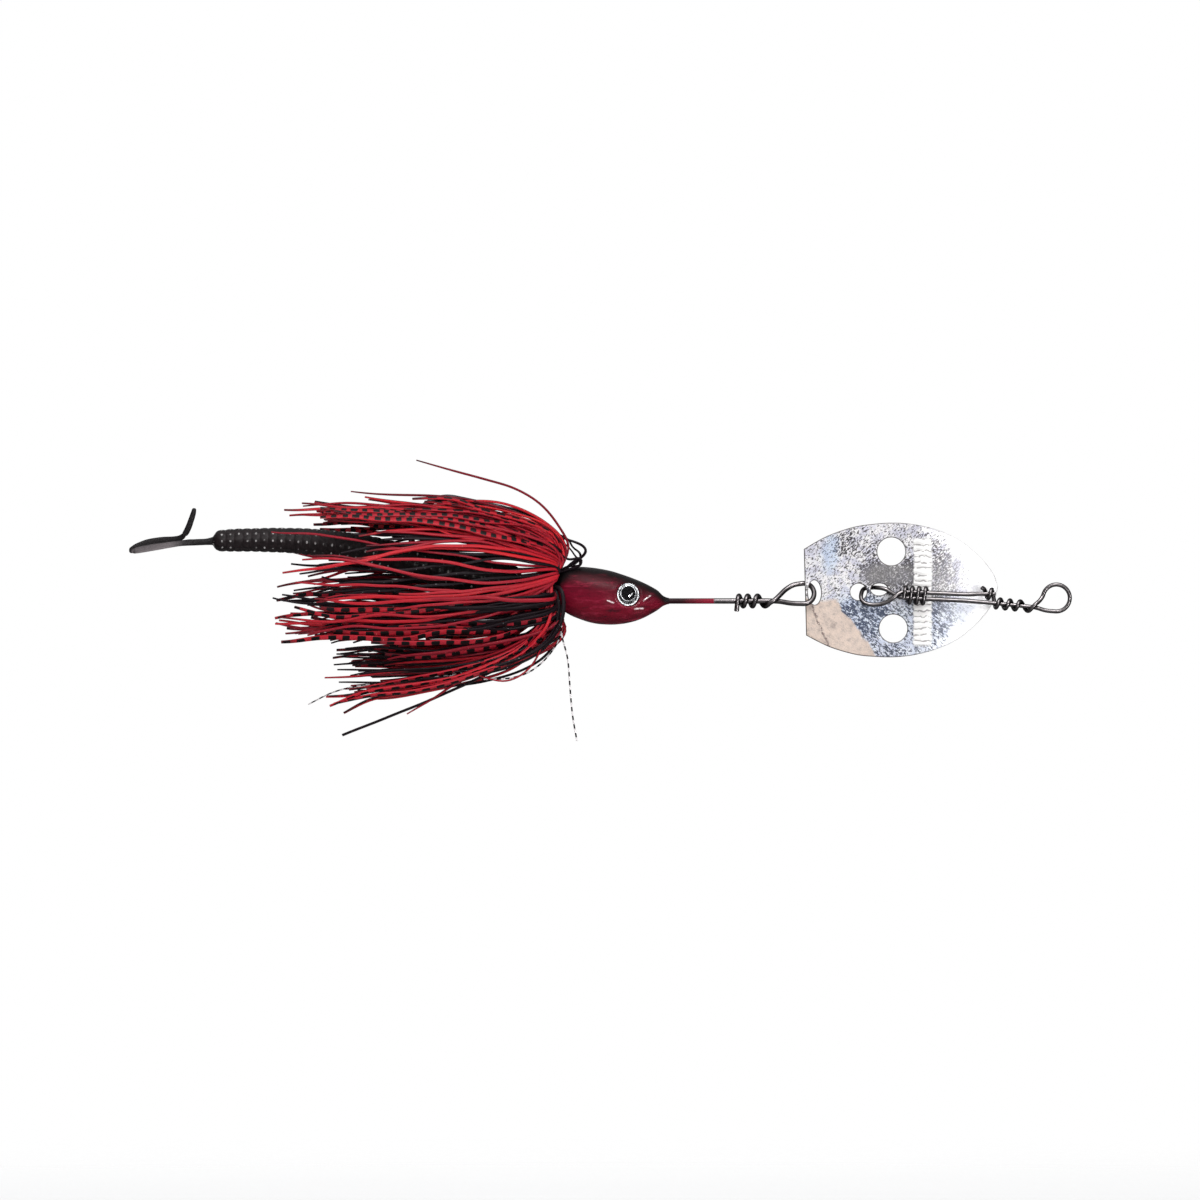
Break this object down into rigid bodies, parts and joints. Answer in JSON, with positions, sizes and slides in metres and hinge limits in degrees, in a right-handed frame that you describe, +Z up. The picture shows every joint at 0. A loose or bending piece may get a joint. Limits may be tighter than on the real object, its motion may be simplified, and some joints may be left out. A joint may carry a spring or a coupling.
{
  "type": "spinnerbait",
  "caption": "Fishing lure with a lead fish head, hook, vibrating metal blade on twisted wire links, banded silicone skirt and a ribbed soft worm trailer.",
  "frame": {"origin": "the seat for the line: the middle of the small flat on the inside of the line tie eye, at its front", "axes": "+X forwards along the lure towards the line, +Z up towards the fish head's back and the hook point, +Y to the fish head's left side, the side away from the wire clip"},
  "size_m": [0.1887, 0.0301, 0.0563],
  "materials": {
    "candy_red_paint": "glossy candy red with a black back and fine glitter",
    "spring_steel": "bright drawn wire",
    "polished_blade": "polished with a faint pebbled grain",
    "black_nickel": "dark nickel plate",
    "eye_foil": "silver foil with a printed black pupil",
    "eye_lens": "clear epoxy dome",
    "band_rubber": "matt",
    "silicone_red": "satin silicone",
    "silicone_black": "satin silicone with fine flakes",
    "tinsel": "black film with silver dashes",
    "worm_plastic": "soft ribbed plastic with fine flakes, wet looking"
  },
  "bodies": {
    "head": {"head_casting": "candy_red_paint", "nose_wire": "spring_steel", "hook": "black_nickel", "eye_foil_left": "eye_foil", "eye_foil_right": "eye_foil", "eye_lens_left": "eye_lens", "eye_lens_right": "eye_lens", "skirt_band": "band_rubber", "worm_body": "worm_plastic"},
    "blade": {"blade": "polished_blade"},
    "tow_link": {"tow_link": "spring_steel"},
    "keeper_coil": {"keeper_coil": "spring_steel"},
    "worm_rear": {"worm_rear": "worm_plastic"},
    "worm_tail": {"worm_tail": "worm_plastic"},
    "tuft_01": {"strand_barred_middle_01": "silicone_red", "strand_black_inner_01": "silicone_black", "strand_red_outer_01": "silicone_red"},
    "tuft_03": {"strand_barred_middle_03": "silicone_red", "strand_red_outer_03": "silicone_red"},
    "tuft_05": {"strand_barred_middle_05": "silicone_red", "strand_black_inner_05": "silicone_black", "strand_red_outer_05": "silicone_red"},
    "tuft_07": {"strand_barred_middle_07": "silicone_red", "strand_black_inner_07": "silicone_black", "strand_red_outer_07": "silicone_red"},
    "tuft_09": {"strand_barred_middle_09": "silicone_red", "strand_black_inner_09": "silicone_black", "strand_red_outer_09": "silicone_red", "tinsel_strand": "tinsel"},
    "tuft_11": {"strand_barred_middle_11": "silicone_red", "strand_black_inner_11": "silicone_black", "strand_red_outer_11": "silicone_red"},
    "tuft_02": {"strand_barred_outer_02": "silicone_red", "strand_black_middle_02": "silicone_black", "strand_red_inner_02": "silicone_red"},
    "tuft_04": {"strand_barred_outer_04": "silicone_red", "strand_black_middle_04": "silicone_black", "strand_red_stray_top": "silicone_red"},
    "tuft_06": {"strand_barred_outer_06": "silicone_red", "strand_black_middle_06": "silicone_black", "strand_red_inner_06": "silicone_red"},
    "tuft_08": {"strand_barred_outer_08": "silicone_red", "strand_black_middle_08": "silicone_black", "strand_black_stray_low": "silicone_black", "strand_red_inner_08": "silicone_red"},
    "tuft_10": {"strand_barred_outer_10": "silicone_red", "strand_black_middle_10": "silicone_black", "strand_red_inner_10": "silicone_red"},
    "tuft_12": {"strand_barred_outer_12": "silicone_red", "strand_black_middle_12": "silicone_black", "strand_red_inner_12": "silicone_red"}
  },
  "joints": [
    {"name": "blade_wobble", "type": "hinge", "parent": "head", "child": "blade", "pos_m": [-0.05212, 0.00195, 0.0009], "axis": [0, 0, 1], "range_deg": [-28, 28]},
    {"name": "link_swing", "type": "hinge", "parent": "blade", "child": "tow_link", "pos_m": [-0.03977, 0.00195, 0.001], "axis": [0, 0, 1], "range_deg": [-25, 0]},
    {"name": "keeper_slide", "type": "slide", "parent": "tow_link", "child": "keeper_coil", "axis": [0.9986, 0, -0.0537], "range_m": [0, 0.0085]},
    {"name": "worm_flex", "type": "hinge", "parent": "head", "child": "worm_rear", "pos_m": [-0.13373, 0.00195, 0.00785], "axis": [0, 1, 0], "range_deg": [-18, 18]},
    {"name": "tail_flap", "type": "hinge", "parent": "worm_rear", "child": "worm_tail", "pos_m": [-0.17192, 0.00195, 0.0115], "axis": [0, 1, 0], "range_deg": [-40, 40]},
    {"name": "skirt_flare_01", "type": "hinge", "parent": "head", "child": "tuft_01", "pos_m": [-0.10472, 0.0049, 0.00294], "axis": [0, 0.2588, -0.9659], "range_deg": [-2, 12]},
    {"name": "skirt_flare_02", "type": "hinge", "parent": "head", "child": "tuft_02", "pos_m": [-0.10472, 0.00411, 0.00431], "axis": [0, 0.7071, -0.7071], "range_deg": [-2, 12]},
    {"name": "skirt_flare_03", "type": "hinge", "parent": "head", "child": "tuft_03", "pos_m": [-0.10472, 0.00274, 0.0051], "axis": [0, 0.9659, -0.2588], "range_deg": [-2, 12]},
    {"name": "skirt_flare_04", "type": "hinge", "parent": "head", "child": "tuft_04", "pos_m": [-0.10472, 0.00116, 0.0051], "axis": [0, 0.9659, 0.2588], "range_deg": [-2, 12]},
    {"name": "skirt_flare_05", "type": "hinge", "parent": "head", "child": "tuft_05", "pos_m": [-0.10472, -0.00021, 0.00431], "axis": [0, 0.7071, 0.7071], "range_deg": [-2, 12]},
    {"name": "skirt_flare_06", "type": "hinge", "parent": "head", "child": "tuft_06", "pos_m": [-0.10472, -0.001, 0.00294], "axis": [0, 0.2588, 0.9659], "range_deg": [-2, 12]},
    {"name": "skirt_flare_07", "type": "hinge", "parent": "head", "child": "tuft_07", "pos_m": [-0.10472, -0.001, 0.00136], "axis": [0, -0.2588, 0.9659], "range_deg": [-2, 12]},
    {"name": "skirt_flare_08", "type": "hinge", "parent": "head", "child": "tuft_08", "pos_m": [-0.10472, -0.00021, -0.00001], "axis": [0, -0.7071, 0.7071], "range_deg": [-2, 12]},
    {"name": "skirt_flare", "type": "hinge", "parent": "head", "child": "tuft_09", "pos_m": [-0.10472, 0.00116, -0.0008], "axis": [0, -0.9659, 0.2588], "range_deg": [-2, 12]},
    {"name": "skirt_flare_10", "type": "hinge", "parent": "head", "child": "tuft_10", "pos_m": [-0.10472, 0.00274, -0.0008], "axis": [0, -0.9659, -0.2588], "range_deg": [-2, 12]},
    {"name": "skirt_flare_11", "type": "hinge", "parent": "head", "child": "tuft_11", "pos_m": [-0.10472, 0.00411, -0.00001], "axis": [0, -0.7071, -0.7071], "range_deg": [-2, 12]},
    {"name": "skirt_flare_12", "type": "hinge", "parent": "head", "child": "tuft_12", "pos_m": [-0.10472, 0.0049, 0.00136], "axis": [0, -0.2588, -0.9659], "range_deg": [-2, 12]}
  ],
  "couplings": [
    {"joint": "skirt_flare_01", "follows": "skirt_flare", "ratio": 1},
    {"joint": "skirt_flare_02", "follows": "skirt_flare", "ratio": 1},
    {"joint": "skirt_flare_03", "follows": "skirt_flare", "ratio": 1},
    {"joint": "skirt_flare_04", "follows": "skirt_flare", "ratio": 1},
    {"joint": "skirt_flare_05", "follows": "skirt_flare", "ratio": 1},
    {"joint": "skirt_flare_06", "follows": "skirt_flare", "ratio": 1},
    {"joint": "skirt_flare_07", "follows": "skirt_flare", "ratio": 1},
    {"joint": "skirt_flare_08", "follows": "skirt_flare", "ratio": 1},
    {"joint": "skirt_flare_10", "follows": "skirt_flare", "ratio": 1},
    {"joint": "skirt_flare_11", "follows": "skirt_flare", "ratio": 1},
    {"joint": "skirt_flare_12", "follows": "skirt_flare", "ratio": 1}
  ]
}
